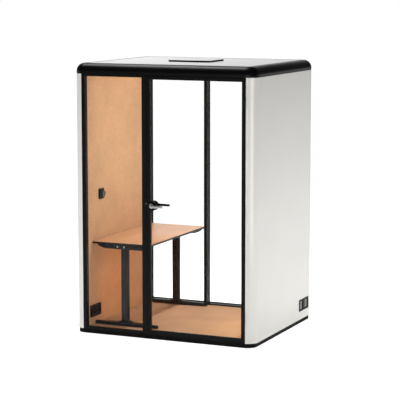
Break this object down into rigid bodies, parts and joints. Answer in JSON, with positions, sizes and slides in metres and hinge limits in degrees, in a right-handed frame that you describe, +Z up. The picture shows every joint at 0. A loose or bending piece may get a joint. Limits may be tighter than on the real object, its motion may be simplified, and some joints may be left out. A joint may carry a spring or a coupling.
{
  "type": "acoustic office pod",
  "caption": "Free-standing acoustic office pod with rounded white side walls, a black glazed front with a hinged glass door, felt lining, a fitted desk and a roof vent.",
  "frame": {"origin": "on the floor under the centre of the shell, at the underside of the plinth", "axes": "+Z up, -Y towards the door side, +X to the right of someone facing the door"},
  "size_m": [1.6034, 1.4014, 2.2417],
  "materials": {
    "shell_white": "white powder coat, fine satin",
    "frame_black": "black powder coat, satin",
    "plinth_black": "black-coated board",
    "roof_edge_black": "black moulded, satin",
    "roof_pale": "pale coated board",
    "felt_tan": "pressed felt over absorber",
    "carpet_tan": "low pile carpet",
    "glass_clear": "clear laminated glass",
    "desk_oak": "pale oak face with a dark edge",
    "desk_black": "black powder coat",
    "steel_satin": "satin",
    "rubber_black": "matte",
    "plastic_black": "satin",
    "plastic_grey": "satin with a pale rim",
    "lens_milky": "milky diffuser"
  },
  "bodies": {
    "pod": {"side_shell_left": "shell_white", "side_shell_right": "shell_white", "front_jamb_left": "frame_black", "front_jamb_right": "frame_black", "front_post": "frame_black", "front_head": "frame_black", "front_sill": "frame_black", "rear_jamb_left": "frame_black", "rear_jamb_right": "frame_black", "rear_post": "frame_black", "rear_head": "frame_black", "rear_sill": "frame_black", "hinge_lower_frame": "frame_black", "hinge_middle_frame": "frame_black", "hinge_upper_frame": "frame_black", "base_plinth": "plinth_black", "roof_edge": "roof_edge_black", "vent_riser": "roof_edge_black", "fan_housing": "roof_edge_black", "roof_panel": "roof_pale", "vent_cover": "roof_pale", "wall_lining_left": "felt_tan", "wall_lining_right": "felt_tan", "ceiling_panel": "felt_tan", "floor_carpet": "carpet_tan", "front_glass": "glass_clear", "rear_glass_left": "glass_clear", "rear_glass_right": "glass_clear", "desk_top": "desk_oak", "desk_leg_front": "desk_black", "desk_leg_rear": "desk_black", "desk_foot_front": "desk_black", "desk_foot_rear": "desk_black", "desk_beam": "desk_black", "strike_plate": "steel_satin", "door_seal": "rubber_black", "control_plate": "plastic_black", "inner_outlet": "plastic_black", "service_outlet": "plastic_black", "light_bar": "lens_milky"},
    "door": {"door_stile_lock": "frame_black", "door_stile_hinge": "frame_black", "door_rail_top": "frame_black", "door_rail_bottom": "frame_black", "door_glass": "glass_clear", "hinge_lower_door": "frame_black", "hinge_middle_door": "frame_black", "hinge_upper_door": "frame_black", "lock_case": "steel_satin", "lever_rose_outer": "frame_black", "lever_rose_inner": "frame_black"},
    "handle": {"lever_outer": "steel_satin", "lever_inner": "steel_satin"},
    "latch": {"latch_bolt": "steel_satin"},
    "knob": {"control_knob": "plastic_grey"},
    "fan": {"fan_rotor": "roof_edge_black"},
    "foot_1": {"levelling_foot_1": "rubber_black"},
    "foot_2": {"levelling_foot_2": "rubber_black"},
    "foot_3": {"levelling_foot_3": "rubber_black"},
    "foot_4": {"levelling_foot_4": "rubber_black"}
  },
  "joints": [
    {"name": "door_swing", "type": "hinge", "parent": "pod", "child": "door", "pos_m": [0.714, -0.681, 1], "axis": [0, 0, 1], "range_deg": [0, 110]},
    {"name": "lever_turn", "type": "hinge", "parent": "door", "child": "handle", "pos_m": [-0.09, -0.653, 1.094], "axis": [0, 1, 0], "range_deg": [0, 40], "stiffness_Nm_per_rad": 1.5, "springref_deg": -28.65},
    {"name": "latch_slide", "type": "slide", "parent": "door", "child": "latch", "axis": [1, 0, 0], "range_m": [0, 0.0071]},
    {"name": "knob_turn", "type": "hinge", "parent": "pod", "child": "knob", "pos_m": [-0.68, -0.388, 1.129], "axis": [1, 0, 0], "range_deg": [0, 270]},
    {"name": "fan_spin", "type": "hinge", "parent": "pod", "child": "fan", "pos_m": [0, 0, 2.18], "axis": [0, 0, 1], "continuous": true},
    {"name": "foot_1_level", "type": "slide", "parent": "pod", "child": "foot_1", "axis": [0, 0, -1], "range_m": [0, 0.012]},
    {"name": "foot_2_level", "type": "slide", "parent": "pod", "child": "foot_2", "axis": [0, 0, -1], "range_m": [0, 0.012]},
    {"name": "foot_3_level", "type": "slide", "parent": "pod", "child": "foot_3", "axis": [0, 0, -1], "range_m": [0, 0.012]},
    {"name": "foot_4_level", "type": "slide", "parent": "pod", "child": "foot_4", "axis": [0, 0, -1], "range_m": [0, 0.012]}
  ],
  "couplings": [
    {"joint": "latch_slide", "follows": "lever_turn", "m_per_rad": 0.010027}
  ]
}
